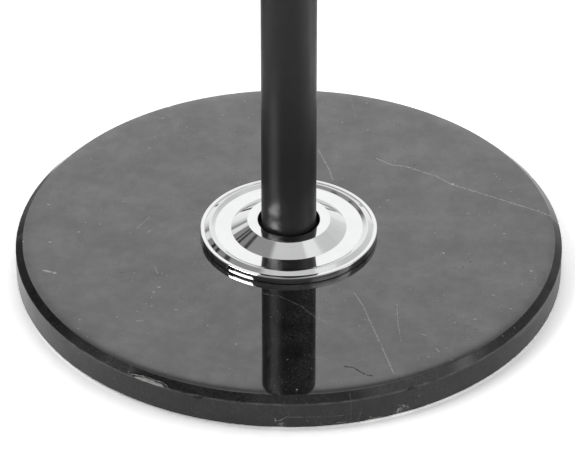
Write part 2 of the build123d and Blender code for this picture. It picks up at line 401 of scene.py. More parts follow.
class SharedEffects:
    """Node groups that several finishes share, each built once. Their lengths are in millimetres."""

    def __init__(self) -> None:
        """Build every group."""
        self.clouds = self.build_clouds()
        self.specks = self.build_specks()
        self.stroke = self.build_stroke()
        self.sway = self.build_sway()
        self.blotch = self.build_blotch()
        self.hairlines = self.build_hairlines()
        self.grain = self.build_grain()

    @staticmethod
    def build_clouds() -> Tree:
        """Soft cloudy patches between two levels.

        Returns:
            The group.
        """
        graph, given, out = new_group("soft clouds", "*Point, Size, Low, High", "Level")
        raw = graph.noise(given["Point"], graph.math("DIVIDE", 1.0, given["Size"]), 4.0)
        graph.feed(out["Level"], graph.ease(raw, 0.3, 0.7, given["Low"], given["High"]))
        return graph.tree

    @staticmethod
    def build_specks() -> Tree:
        """Scattered round specks of mixed sizes and strengths.

        Returns:
            The group.
        """
        graph, given, out = new_group("scattered specks", "*Point, Spacing, Size, Share", "Mask")
        distance, draws = graph.cells(given["Point"], given["Spacing"])
        smallest, weakest, core = 0.2, 0.25, 0.4
        reach = graph.math("DIVIDE", given["Size"], given["Spacing"])
        reach = graph.math("MULTIPLY", reach, graph.math("MULTIPLY_ADD", draws[0], 1 - smallest, smallest))
        spot = graph.ease(distance, reach, graph.math("MULTIPLY", reach, core))
        chosen = graph.math("LESS_THAN", draws[1], given["Share"])
        strength = graph.math("MULTIPLY_ADD", draws[2], 1 - weakest, weakest)
        graph.feed(out["Mask"], graph.math("MULTIPLY", graph.math("MULTIPLY", spot, chosen), strength))
        return graph.tree

    @staticmethod
    def build_stroke() -> Tree:
        """One frayed stroke from a start to an end, such as a length of vein.

        Returns:
            The group.
        """
        graph, given, out = new_group("frayed stroke", "*Point, Fray, *Start, *End, Width, Breaks", "Mask")
        core = 0.15
        run = graph.vector("SUBTRACT", given["End"], given["Start"])
        reach = graph.vector("SUBTRACT", given["Point"], given["Start"])
        squared = graph.vector("DOT_PRODUCT", run, run)
        share = graph.math("DIVIDE", graph.vector("DOT_PRODUCT", reach, run), squared, clamp=True)
        nearest = graph.vector("ADD", given["Start"], graph.scaled(run, share))
        off = graph.vector("DISTANCE", given["Point"], nearest)
        width = graph.math("MULTIPLY", given["Width"], graph.ease(given["Fray"], 0.25, 0.75, 0.45, 1.5))
        line = graph.ease(off, width, graph.math("MULTIPLY", width, core))
        gaps = graph.ease(given["Fray"], 0.36, 0.56)
        graph.feed(out["Mask"], graph.math("MULTIPLY", line, graph.lerp(given["Breaks"], 1.0, gaps)))
        return graph.tree

    @staticmethod
    def build_sway() -> Tree:
        """Places pushed about a little, so that strokes wander, and a level that frays them.

        Returns:
            The group.
        """
        graph, given, out = new_group("swaying places", "*Point, Wander", "*Place, Fray")
        sway = graph.vector("SUBTRACT", graph.noise(given["Point"], 0.3, 3.0, colour=True), (0.5, 0.5, 0.5))
        graph.feed(out["Place"], graph.vector("ADD", given["Point"], graph.scaled(sway, given["Wander"])))
        graph.feed(out["Fray"], graph.noise(given["Point"], 0.9, 3.0))
        return graph.tree

    @staticmethod
    def build_blotch() -> Tree:
        """One ragged patch round a centre, broken into crystals.

        Returns:
            The group.
        """
        graph, given, out = new_group("ragged blotch", "*Point, *Centre, Radius, Crystal", "Mask")
        swing, least, core = 1.4, 0.3, 0.55
        ragged = graph.math("MULTIPLY_ADD", graph.noise(given["Point"], 0.8, 4.0), swing, least)
        off = graph.math("MULTIPLY", graph.vector("DISTANCE", given["Point"], given["Centre"]), ragged)
        patch = graph.ease(off, given["Radius"], graph.math("MULTIPLY", given["Radius"], core))
        _, draws = graph.cells(given["Point"], given["Crystal"])
        graph.feed(out["Mask"], graph.math("MULTIPLY", patch, graph.ease(draws[0], 0.5, 0.7, 0.05, 1.0)))
        return graph.tree

    @staticmethod
    def build_hairlines() -> Tree:
        """Fine straight rubbing marks in two crossing directions.

        Returns:
            The group.
        """
        graph, given, out = new_group("rubbing marks", "*Point, Length, Pitch, Share", "Mask")
        first_turn, second_turn, rarest, full = 0.6, 2.2, 0.8, 0.82
        total: Any = 0.0
        for turn in (first_turn, second_turn):
            way = (("Vector", given["Point"]), ("Rotation", (0.0, 0.0, turn)))
            turned = graph.add("ShaderNodeMapping", way).outputs[0]
            sizes = (given["Length"], given["Pitch"], given["Length"])
            scales = enumerate([graph.math("DIVIDE", 1.0, size) for size in sizes])
            stretched = graph.vector("MULTIPLY", turned, graph.add("ShaderNodeCombineXYZ", scales).outputs[0])
            level = graph.noise(stretched, 1.0, 1.0)
            line = graph.ease(level, graph.math("SUBTRACT", rarest, given["Share"]), full)
            total = graph.math("MAXIMUM", total, line)
        graph.feed(out["Mask"], total)
        return graph.tree

    @staticmethod
    def build_grain() -> Tree:
        """Fine grain on a coarser one, as a height from 0 to 1.

        Returns:
            The group.
        """
        graph, given, out = new_group("fine grain", "*Point, Fine, Coarse, Coarse Share", "Height")
        fine, coarse = (
            graph.noise(given["Point"], graph.math("DIVIDE", 1.0, given[size])) for size in ("Fine", "Coarse")
        )
        graph.feed(out["Height"], graph.lerp(given["Coarse Share"], fine, coarse))
        return graph.tree


class Surface:
    """A material's graph, with the shared effects laid on the piece's own coordinates."""

    def __init__(self, graph: NodeGraph, effects: SharedEffects) -> None:
        """Keep the graph and the effects, and find the place on the piece in millimetres."""
        self.graph, self.effects = graph, effects
        self.point = graph.in_millimetres()

    def clouds(self, size: float, low: float, high: float) -> Socket:
        """Soft cloudy patches between two levels."""
        return self.graph.place(self.effects.clouds, "Level", point=self.point, size=size, low=low, high=high)

    def specks(self, spacing: float, size: float, share: float) -> Socket:
        """Mask of scattered specks."""
        given = {"point": self.point, "spacing": spacing, "size": size, "share": share}
        return self.graph.place(self.effects.specks, "Mask", **given)

    def hairlines(self, length: float, pitch: float, share: float) -> Socket:
        """Mask of fine rubbing marks."""
        given = {"point": self.point, "length": length, "pitch": pitch, "share": share}
        return self.graph.place(self.effects.hairlines, "Mask", **given)

    def blotch(self, centre: Place, radius: float, crystal: float) -> Socket:
        """Mask of one ragged patch."""
        given = {"point": self.point, "centre": centre, "radius": radius, "crystal": crystal}
        return self.graph.place(self.effects.blotch, "Mask", **given)

    def grain(self, fine: float, coarse: float, coarse_share: float) -> Socket:
        """Height of a fine grain on a coarser one."""
        given = {"point": self.point, "fine": fine, "coarse": coarse, "coarse_share": coarse_share}
        return self.graph.place(self.effects.grain, "Height", **given)

    def emboss(self, shader: Node, height: Socket, depth: float) -> None:
        """Feed a height, whose full range is depth millimetres, to the shader's normal."""
        bump = self.graph.add("ShaderNodeBump", (("Distance", depth * MM), ("Height", height)))
        self.graph.feed(shader.inputs["Normal"], bump.outputs[0])


# Finishes


@dataclass(frozen=True)
class Vein:
    """One vein, crack or scratch of the stone: its points in millimetres, its width and its strength."""

    points: tuple[tuple[float, ...], ...]
    width: float
    strength: float
    breaks: float = 0.45


@dataclass(frozen=True)
class Finish:
    """What every finish has: its name and the plain values of its shader."""

    name: str
    index: float = 1.5
    metallic: float = 0.0

    def material(self, effects: SharedEffects) -> Material:
        """Make the finish's material.

        Args:
            effects: The shared node groups.

        Returns:
            The finished material.
        """
        material = bpy.data.materials.new(self.name)
        material.use_nodes = True
        shader = material.node_tree.nodes["Principled BSDF"]
        shader.inputs["IOR"].default_value = self.index
        shader.inputs["Metallic"].default_value = self.metallic
        self.paint(Surface(NodeGraph(material.node_tree), effects), shader)
        return material

    def paint(self, surface: Surface, shader: Node) -> None:
        """Feed the shader, which each finish does in its own way."""
        raise NotImplementedError


@dataclass(frozen=True)
class MarbleFinish(Finish):
    """Polished black marble: dark ground under a thin dusty film, pale veins and specks, pale breaks."""

    ground: Colour = grey(0.004, -0.03)
    film: Colour = grey(0.05)
    pale: Colour = grey(0.42, 0.02)
    broken: Colour = grey(0.62, 0.02)
    hollow: Colour = grey(0.002)
    polish: float = 0.03
    polish_spread: float = 0.015
    gloss: float = 1.0
    gloss_least: float = 0.78
    gloss_index: float = 1.5
    wiped_film: float = 0.2
    wiped_rough: float = 0.015
    wiped_gloss: float = -0.06
    pale_rough: float = 0.15
    bare_rough: float = 0.95
    pit_strength: float = 0.55
    crystal: float = 0.7
    vein_wander: float = 0.6
    scratch_wander: float = 0.25
    crack_wander: float = 0.8
    grit_height: float = 0.1
    crack_height: float = -0.12
    swell_height: float = 0.015
    specks: tuple[tuple[float, float, float, float], ...] = (
        (1.6, 0.45, 0.1, 0.7), (5.0, 0.7, 0.12, 1.0), (1.3, 0.3, 0.4, 0.2),
    )
    veins: tuple[Vein, ...] = ()
    cracks: tuple[Vein, ...] = ()
    scratches: tuple[Vein, ...] = ()
    blotches: tuple[tuple[Place, float, float], ...] = ()

    @staticmethod
    def strokes(surface: Surface, point: Socket, wander: float, veins: tuple[Vein, ...]) -> Any:
        """Mask of a set of veins.

        Args:
            surface: The stone's surface.
            point: Place on the stone in millimetres.
            wander: How far the veins stray from their straight lengths, in millimetres.
            veins: The veins to draw.

        Returns:
            The strongest of their masks, each times its strength.
        """
        graph, effects = surface.graph, surface.effects
        given = (("Point", point), ("Wander", wander))
        sway = graph.add("ShaderNodeGroup", given, node_tree=effects.sway).outputs
        strongest: Any = 0.0
        for vein in veins:
            for start, end in zip(vein.points, vein.points[1:]):
                mask = graph.place(
                    effects.stroke, "Mask", point=sway["Place"], fray=sway["Fray"], start=(*start, 0.0)[:3],
                    end=(*end, 0.0)[:3], width=vein.width, breaks=vein.breaks,
                )
                strongest = graph.math("MAXIMUM", strongest, graph.math("MULTIPLY", mask, vein.strength))
        return strongest

    def paint(self, surface: Surface, shader: Node) -> None:
        """Feed the stone's colour, roughness, gloss and relief.

        Args:
            surface: The stone's surface.
            shader: The material's shader.
        """
        graph, point = surface.graph, surface.point
        flat = graph.vector("MULTIPLY", point, (1.0, 1.0, 0.0))
        patches = surface.clouds(size=13.0, low=0.1, high=0.6)
        grains = surface.clouds(size=0.9, low=0.0, high=1.0)
        wiped = surface.hairlines(length=18.0, pitch=0.6, share=0.28)
        film = graph.math("MULTIPLY_ADD", wiped, self.wiped_film, graph.math("MULTIPLY", patches, grains))
        tone = graph.mix(film, self.ground, self.film)

        pale = self.strokes(surface, flat, self.vein_wander, self.veins)
        pale = graph.math("MAXIMUM", pale, self.strokes(surface, point, self.scratch_wander, self.scratches))
        masks = [(surface.blotch(*patch, self.crystal), strength) for *patch, strength in self.blotches]
        masks += [(surface.specks(*scatter), strength) for *scatter, strength in self.specks]
        for mask, strength in masks:
            pale = graph.math("MAXIMUM", pale, graph.math("MULTIPLY", mask, strength))
        tone = graph.mix(pale, tone, self.pale)
        pits = graph.math("MULTIPLY", surface.specks(spacing=3.0, size=0.6, share=0.12), self.pit_strength)
        dark = graph.math("MAXIMUM", pits, self.strokes(surface, flat, self.crack_wander, self.cracks))
        tone = graph.mix(dark, tone, self.hollow)

        raw = graph.add("ShaderNodeAttribute", attribute_name="raw break").outputs["Fac"]
        tone = graph.mix(raw, tone, self.hollow)
        wear = graph.add("ShaderNodeAttribute", attribute_name="pale break").outputs["Fac"]
        crystals = surface.clouds(size=0.6, low=0.65, high=1.0)
        tone = graph.mix(graph.math("MULTIPLY", wear, crystals), tone, self.broken)
        graph.feed(shader.inputs["Base Color"], tone)

        haze = surface.clouds(size=9.0, low=self.polish, high=self.polish + self.polish_spread)
        rough = graph.math("MULTIPLY_ADD", wiped, self.wiped_rough, haze)
        rough = graph.math("MULTIPLY_ADD", pale, self.pale_rough, rough)
        dark_and_dull = graph.math("MAXIMUM", raw, dark)
        graph.feed(shader.inputs["Roughness"], graph.lerp(dark_and_dull, rough, self.bare_rough))

        gloss = surface.clouds(size=15.0, low=self.gloss_least * self.gloss, high=self.gloss)
        smears = surface.clouds(size=4.0, low=0.82, high=1.0)
        smears = graph.math("MULTIPLY_ADD", wiped, self.wiped_gloss, smears)
        gloss = graph.math("MULTIPLY", gloss, smears)
        graph.feed(shader.inputs["Coat Weight"], graph.lerp(dark_and_dull, gloss, 0.0))
        shader.inputs["Coat IOR"].default_value = self.gloss_index
        shader.inputs["Coat Roughness"].default_value = self.polish

        grit = surface.grain(fine=0.25, coarse=0.9, coarse_share=0.5)
        height = graph.math("MULTIPLY", graph.math("MULTIPLY", grit, wear), self.grit_height)
        height = graph.math("MULTIPLY_ADD", dark, self.crack_height, height)
        height = graph.math("MULTIPLY_ADD", graph.noise(point, 0.05, 1.0), self.swell_height, height)
        surface.emboss(shader, height, 1.0)


@dataclass(frozen=True)
class ChromeFinish(Finish):
    """Bright plating: even mirror with faint wiping haze and a little dust."""

    tone: Colour = grey(0.515, -0.004)
    dull: Colour = grey(0.42)
    polish: float = 0.035
    polish_spread: float = 0.03
    rubbed_rough: float = 0.05
    dust_rough: float = 0.35
    swell: float = 0.003

    def paint(self, surface: Surface, shader: Node) -> None:
        """Feed the plating's colour, roughness and faint swell.

        Args:
            surface: The plating's surface.
            shader: The material's shader.
        """
        graph = surface.graph
        dust = surface.specks(spacing=2.6, size=0.14, share=0.22)
        film = graph.math("MAXIMUM", dust, surface.clouds(size=6.0, low=0.0, high=0.18))
        graph.feed(shader.inputs["Base Color"], graph.mix(film, self.tone, self.dull))
        rub = surface.hairlines(length=7.0, pitch=0.12, share=0.06)
        haze = surface.clouds(size=7.0, low=self.polish, high=self.polish + self.polish_spread)
        rough = graph.math("MULTIPLY_ADD", rub, self.rubbed_rough, haze)
        graph.feed(shader.inputs["Roughness"], graph.math("MULTIPLY_ADD", dust, self.dust_rough, rough))
        surface.emboss(shader, surface.grain(fine=1.1, coarse=4.0, coarse_share=0.6), self.swell)


@dataclass(frozen=True)
class GrainedFinish(Finish):
    """A finish with one tone, cloudy wear and a fine grain: coating, rubber, plastic or plain metal."""

    tone: Colour = grey(0.02)
    worn: Colour = grey(0.04)
    cloud_size: float = 6.0
    rough_low: float = 0.45
    rough_high: float = 0.6
    fine: float = 0.3
    coarse: float = 1.2
    coarse_share: float = 0.4
    depth: float = 0.03
    speck_share: float = 0.1

    def paint(self, surface: Surface, shader: Node) -> None:
        """Feed the finish's colour, roughness and grain.

        Args:
            surface: The finish's surface.
            shader: The material's shader.
        """
        graph = surface.graph
        clouds = surface.clouds(size=self.cloud_size, low=0.0, high=0.7)
        wear = graph.math("MAXIMUM", clouds, surface.specks(spacing=1.6, size=0.22, share=self.speck_share))
        graph.feed(shader.inputs["Base Color"], graph.mix(wear, self.tone, self.worn))
        rough = surface.clouds(size=self.cloud_size / 2, low=self.rough_low, high=self.rough_high)
        graph.feed(shader.inputs["Roughness"], rough)
        surface.emboss(shader, surface.grain(self.fine, self.coarse, self.coarse_share), self.depth)


def dress(piece: Piece, *materials: Material) -> None:
    """Give an object its materials, in place of what it has. The faces of a new piece keep their choice.

    Args:
        piece: The object to dress.
        *materials: Its materials, in the order of its faces' numbers.
    """
    if piece.data.materials:
        piece.data.materials.clear()
    for material in materials:
        piece.data.materials.append(material)


# Sub-assemblies


@dataclass(frozen=True)
class Break:
    """A chip on one rim of the stone: its place, its size in millimetres and its reach above and below."""

    rim: Arris
    angle: float
    length: float
    width: float
    depth: float
    pale: float = 1.0
    above: float = 1.0
    below: float = 1.0


@dataclass(frozen=True)
class Ripple:
    """A smooth irregular wave over the stone: its mean, its swing, its scale and where it starts."""

    mean: float
    swing: float
    scale: float
    start: Place = (0.0, 0.0, 0.0)

    def at(self, place: Vector) -> float:
        """The wave's level at a place in millimetres."""
        return self.mean + self.swing * noise.noise(place * self.scale + Vector(self.start))


@dataclass
class StoneBase:
    """The polished stone disc and its four rubber feet. Lengths are in millimetres."""

    radius: float = 95.0
    low: float = 1.4
    high: float = 13.6
    bevel: float = 2.5
    foot_bevel: float = 0.6
    foot_ring: float = 2.4
    polish_width: float = 7.0
    polish_drop: float = 0.3
    polish_power: float = 4.0
    rim_rounding: float = 0.2
    bore_radius: float = 5.6
    recess_radius: float = 12.5
    recess_roof: float = 8.9
    pocket_radius: float = 7.1
    pocket_depth: float = 2.0
    pocket_circle: float = 73.0
    pocket_steps: int = 96
    steps: int = 1200
    roll_parts: int = 9
    bevel_parts: int = 16
    wall_parts: int = 12
    ragged: Ripple = Ripple(0.85, 0.25, 0.4)
    facets: Ripple = Ripple(0.7, 0.6, 1.7, (7, 3, 1))
    chip_steepness: float = 1.6
    chip_pale_steepness: float = 5.0
    chip_pale_fade: float = 0.35
    chip_raw_steepness: float = 3.0
    chip_raw_spread: float = 1.7
    nicks: Ripple = Ripple(-0.42, 1.0, 0.55, (31, 17, 5))
    nick_steepness: float = 3.0
    nick_depth: float = 0.04
    nick_reach: float = 0.6
    nick_pale: float = 0.25
    nick_pale_steepness: float = 2.0
    nick_raw_steepness: float = 4.0
    foot_edge: float = 0.05
    foot_raw: float = 0.9
    rubbing: Ripple = Ripple(0.55, 0.6, 0.25, (5, 11, 2))
    rub_reach: float = 0.4
    rub_pale: float = 0.33
    breaks: tuple[Break, ...] = (
        Break(Arris.LOWER, -119.2, 12.0, 1.5, 0.02, 0.95, 1.0, 0.1),
        Break(Arris.LOWER, -108.4, 3.4, 1.0, 0.05, 0.0, 0.5, 1.0),
        Break(Arris.LOWER, -64.9, 2.6, 0.6, 0.05, 0.0, 0.8, 1.0),
        Break(Arris.LOWER, -31.0, 22.0, 2.4, 0.0, 0.18, 0.15, 1.0),
        Break(Arris.FOOT, -92.0, 4.6, 0.9, 0.3, 0.8),
        Break(Arris.FOOT, -73.0, 5.0, 0.9, 0.35, 0.7),
        Break(Arris.FOOT, -66.5, 7.0, 1.0, 0.35, 0.8),
        Break(Arris.UPPER, 118.0, 2.8, 0.5, 0.2, 0.5),
        Break(Arris.LOWER, 24.0, 2.6, 0.6, 0.25, 0.5),
        Break(Arris.FOOT, 160.0, 4.0, 0.8, 0.3, 0.6),
    )

    def outline(self) -> Outline:
        """Half section of the disc, with the top rolled off slightly towards the bevel.

        Returns:
            The outline, with many short parts at the rims, where the wear is.
        """
        shape = Outline().to(self.bore_radius, self.high)
        rim_radius, rim_high = self.rim_of(Arris.UPPER)
        for step in range(self.roll_parts):
            share = step / self.roll_parts
            drop = self.polish_drop * share**self.polish_power
            shape.to(rim_radius - self.polish_width + self.polish_width * share, self.high - drop)
        shape.to(rim_radius, rim_high, self.rim_rounding)
        shape.crowd(*self.rim_of(Arris.LOWER), self.bevel_parts, self.rim_rounding)
        shape.crowd(self.radius, self.low + self.foot_bevel, self.wall_parts)
        shape.to(*self.rim_of(Arris.FOOT)).to(self.radius - self.foot_ring, self.low)
        shape.to(self.recess_radius, self.low).to(self.recess_radius, self.recess_roof)
        return shape.to(self.bore_radius, self.recess_roof)

    def rim_of(self, rim: Arris) -> tuple[float, float]:
        """Radius and height of one rim.

        Args:
            rim: Which rim.

        Returns:
            Its radius and its height.
        """
        return {
            Arris.UPPER: (self.radius - self.bevel, self.high - self.polish_drop),
            Arris.LOWER: (self.radius, self.high - self.bevel),
            Arris.FOOT: (self.radius - self.foot_bevel, self.low),
        }[rim]

    def off_rim(self, place: Vector, rim: Arris) -> float:
        """Distance of a point from one rim."""
        rim_radius, rim_height = self.rim_of(rim)
        return math.hypot(place.xy.length - rim_radius, place.z - rim_height)

    def pockets(self) -> Piece:
        """Round cutters for the feet's pockets.

        Returns:
            One object with four cylinders.
        """
        mesh = bmesh.new()
        for quarter in range(4):
            angle = math.radians(45 + 90 * quarter)
            spot = Vector((math.cos(angle), math.sin(angle), 0)) * self.pocket_circle * MM
            spot.z = self.low * MM
            bmesh.ops.create_cone(
                mesh, cap_ends=True, segments=self.pocket_steps, radius1=self.pocket_radius * MM,
                radius2=self.pocket_radius * MM, depth=2 * self.pocket_depth * MM,
                matrix=Matrix.Translation(spot),
            )
        return as_object(mesh, "pocket_cutter")

    def wear_of(self, place: Vector) -> tuple[float, float, float]:
        """How far a point of the surface is worn in, by chips, nicks and rubbing.

        Args:
            place: The point, in millimetres.

        Returns:
            Depth of the wear in millimetres, how pale the break is and how raw it is, both from 0 to 1.
        """
        radius, angle = place.xy.length, math.degrees(math.atan2(place.y, place.x))
        depth, pale, raw = 0.0, 0.0, 0.0
        for mark in self.breaks:
            off = self.off_rim(place, mark.rim)
            if off > 2 * mark.width:
                continue
            turn = (angle - mark.angle + 180) % 360 - 180
            along = math.radians(turn) * self.radius / (mark.length / 2)
            reach = mark.below if place.z < self.rim_of(mark.rim)[1] else mark.above
            ragged = self.ragged.at(place) * reach
            inside = 1 - along**2 - (off / (mark.width * ragged)) ** 2
            if inside > 0:
                dent = mark.depth * min(1.0, self.chip_steepness * inside)
                depth = max(depth, dent * self.facets.at(place))
                fade = 1 - self.chip_pale_fade * min(1.0, off)
                pale = max(pale, mark.pale * min(1.0, self.chip_pale_steepness * inside) * fade)
            if mark.depth > 0:
                raw = max(raw, min(1.0, self.chip_raw_steepness * inside + self.chip_raw_spread))
        off = self.off_rim(place, Arris.FOOT)
        if off < self.nick_reach:
            nick = max(0.0, self.nicks.at(place)) * self.nick_steepness * (1 - off / self.nick_reach)
            depth = max(depth, self.nick_depth * min(1.0, nick))
            pale = max(pale, self.nick_pale * min(1.0, nick * self.nick_pale_steepness))
            raw = max(raw, min(1.0, nick * self.nick_raw_steepness))
        on_foot = radius > self.rim_of(Arris.FOOT)[0] - self.foot_edge
        if on_foot and place.z < self.low + self.foot_bevel + self.foot_edge:
            raw = max(raw, self.foot_raw)
        off = self.off_rim(place, Arris.LOWER)
        if off < self.rub_reach:
            rubbed = max(0.0, self.rubbing.at(place)) * (1 - off / self.rub_reach)
            pale = max(pale, self.rub_pale * rubbed)
        return depth, pale, raw

    def chip(self, mesh: Mesh) -> None:
        """Push the worn points of the rims in, and mark them for the finish.

        Args:
            mesh: The disc, which changes.
        """
        pale_layer = mesh.verts.layers.float.new("pale break")
        raw_layer = mesh.verts.layers.float.new("raw break")
        for vert in mesh.verts:
            place = vert.co / MM
            if place.xy.length < self.radius - 2 * self.bevel:
                continue
            depth, pale, raw = self.wear_of(place)
            if depth > 0:
                outward = Vector((vert.co.x, vert.co.y, 0)).normalized()
                upward = 1 if place.z > (self.low + self.high) / 2 else -1
                vert.co -= (outward + Vector((0, 0, upward))).normalized() * depth * MM
            vert[pale_layer], vert[raw_layer] = pale, raw

    def build(self, stone: Material, honed: Material, rubber: Material) -> Piece:
        """Build the disc and dress it and its feet.

        Args:
            stone: Finish of the disc.
            honed: Finish of its wall, which is less polished.
            rubber: Finish of the feet.

        Returns:
            The disc.
        """
        mesh = self.outline().turn(self.steps)
        mesh = cut_away(as_object(mesh, "stone_blank"), self.pockets())
        wall_low, wall_high = (self.low + self.foot_bevel / 2) * MM, (self.high - self.bevel) * MM
        for face in mesh.faces:
            middle = face.calc_center_median()
            if middle.xy.length > (self.radius - self.foot_bevel) * MM and wall_low < middle.z < wall_high:
                face.material_index = 1
        self.chip(mesh)
        smooth_with_creases(mesh)
        disc = as_object(mesh, "polished_stone")
        dress(disc, stone, honed)
        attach(disc, Body.STAND.value)
        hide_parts("stone_base")
        for number in range(1, 5):
            dress(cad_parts[f"rubber_foot_{number}"], rubber)
        return disc


@dataclass
class Rosette:
    """The stepped bright ring on the stone, with its gasket. Lengths are in millimetres."""

    low: float = 13.8
    well: float = 10.725
    land: float = 14.425
    cone_foot: float = 20.025
    seat: float = 25.725
    bead_crest: float = 27.375
    groove: float = 29.225
    lip_inner: float = 29.425
    rim: float = 30.825
    seat_high: float = 16.3
    bead_high: float = 17.1
    groove_high: float = 16.0
    lip_high: float = 16.15
    lip_tilt: float = 0.1
    boss_high: float = 19.6
    floor_high: float = 15.7
    bead_rounding: float = 0.8
    bead_cove: float = 0.8
    groove_cove: float = 0.1
    lip_rounding: float = 0.15
    rim_rounding: float = 0.4
    foot_rounding: float = 0.04
    bore_rounding: float = 0.25
    bore_slack: float = 0.01
    boss_rounding: float = 0.25
    cone_cove: float = 0.3
    stud_hole: float = 3.2
    stud_rounding: float = 0.15
    cavity_inner: float = 13.225
    cavity_outer: float = 24.725
    cavity_height: float = 1.2
    steps: int = 720

    def outline(self) -> Outline:
        """Half section of the ring.

        Returns:
            The outline, from the floor of the well round to the top of its bore.
        """
        roof = self.low + self.cavity_height
        shape = Outline().to(self.well, self.floor_high)
        shape.to(self.stud_hole, self.floor_high, self.stud_rounding)
        shape.to(self.stud_hole, self.low).to(self.cavity_inner, self.low)
        shape.to(self.cavity_inner, roof).to(self.cavity_outer, roof).to(self.cavity_outer, self.low)
        shape.to(self.rim, self.low, self.foot_rounding)
        shape.to(self.rim, self.lip_high + self.lip_tilt, self.rim_rounding)
        shape.to(self.lip_inner, self.lip_high, self.lip_rounding)
        shape.to(self.groove, self.groove_high, self.groove_cove)
        shape.to(self.bead_crest, self.bead_high, self.bead_rounding)
        shape.to(self.seat, self.seat_high, self.bead_cove)
        shape.to(self.cone_foot, self.seat_high, self.cone_cove)
        shape.to(self.land, self.boss_high, self.boss_rounding)
        return shape.to(self.well, self.boss_high, self.bore_rounding)

    def build(self, chrome: Material, dark_and_dull: Material, rubber: Material) -> Piece:
        """Build the ring and dress it and its gasket.

        Args:
            chrome: Finish of the ring.
            dark_and_dull: Dark dull finish of its bore, in place of the plating: painted shade in the deep
                gap round the tube.
            rubber: Finish of the gasket.

        Returns:
            The ring.
        """
        mesh = self.outline().turn(self.steps)
        bore_high = self.boss_high - self.bore_rounding
        # The bore's faces take the dark dull finish: painted shade in the deep gap round the tube.
        for face in mesh.faces:
            middle = face.calc_center_median() / MM
            if middle.xy.length < self.well + self.bore_slack and middle.z < bore_high:
                face.material_index = 1
        smooth_with_creases(mesh)
        ring = as_object(mesh, "bright_rosette")
        dress(ring, chrome, dark_and_dull)
        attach(ring, Body.STAND.value)
        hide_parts("rosette")
        dress(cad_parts["rosette_gasket"], rubber)
        return ring


@dataclass
class TurningTube:
    """The black tube with its rolled ends, and the bushes inside it. Lengths are in millimetres."""

    radius: float = 9.525
    wall: float = 1.5
    low: float = 17.05
    high: float = 303.05
    end_radius: float = 2.5
    end_parts: int = 12
    curl_parts: int = 6
    end_lip: float = 0.3
    lip_rounding: float = 0.25
    steps: int = 256

    def outline(self) -> Outline:
        """Half section of the tube.

        Returns:
            The outline, up the outside and down the inside.
        """
        bend, curl = self.radius - self.end_radius, self.end_radius - self.wall
        mouth = bend - self.end_lip
        low, high = (bend, self.low + self.end_radius), (bend, self.high - self.end_radius)
        shape = Outline().arc(low, self.end_radius, -90.0, 0.0, self.end_parts)
        shape.arc(high, self.end_radius, 0.0, 90.0, self.end_parts)
        for height in (self.high, self.high - self.wall):
            shape.to(mouth, height, self.lip_rounding)
        shape.arc(high, curl, 90.0, 0.0, self.curl_parts).arc(low, curl, 0.0, -90.0, self.curl_parts)
        for height in (self.low + self.wall, self.low):
            shape.to(mouth, height, self.lip_rounding)
        return shape

    def build(self, coat: Material, nylon: Material) -> Piece:
        """Build the tube and dress it and its bushes.

        Args:
            coat: Finish of the tube.
            nylon: Finish of the bushes.

        Returns:
            The tube.
        """
        mesh = self.outline().turn(self.steps)
        smooth_with_creases(mesh)
        tube = as_object(mesh, "coated_tube")
        dress(tube, coat)
        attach(tube, Body.TUBE.value)
        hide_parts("tube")
        for name in ("lower_bush", "upper_bush"):
            dress(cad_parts[name], nylon)
        return tube


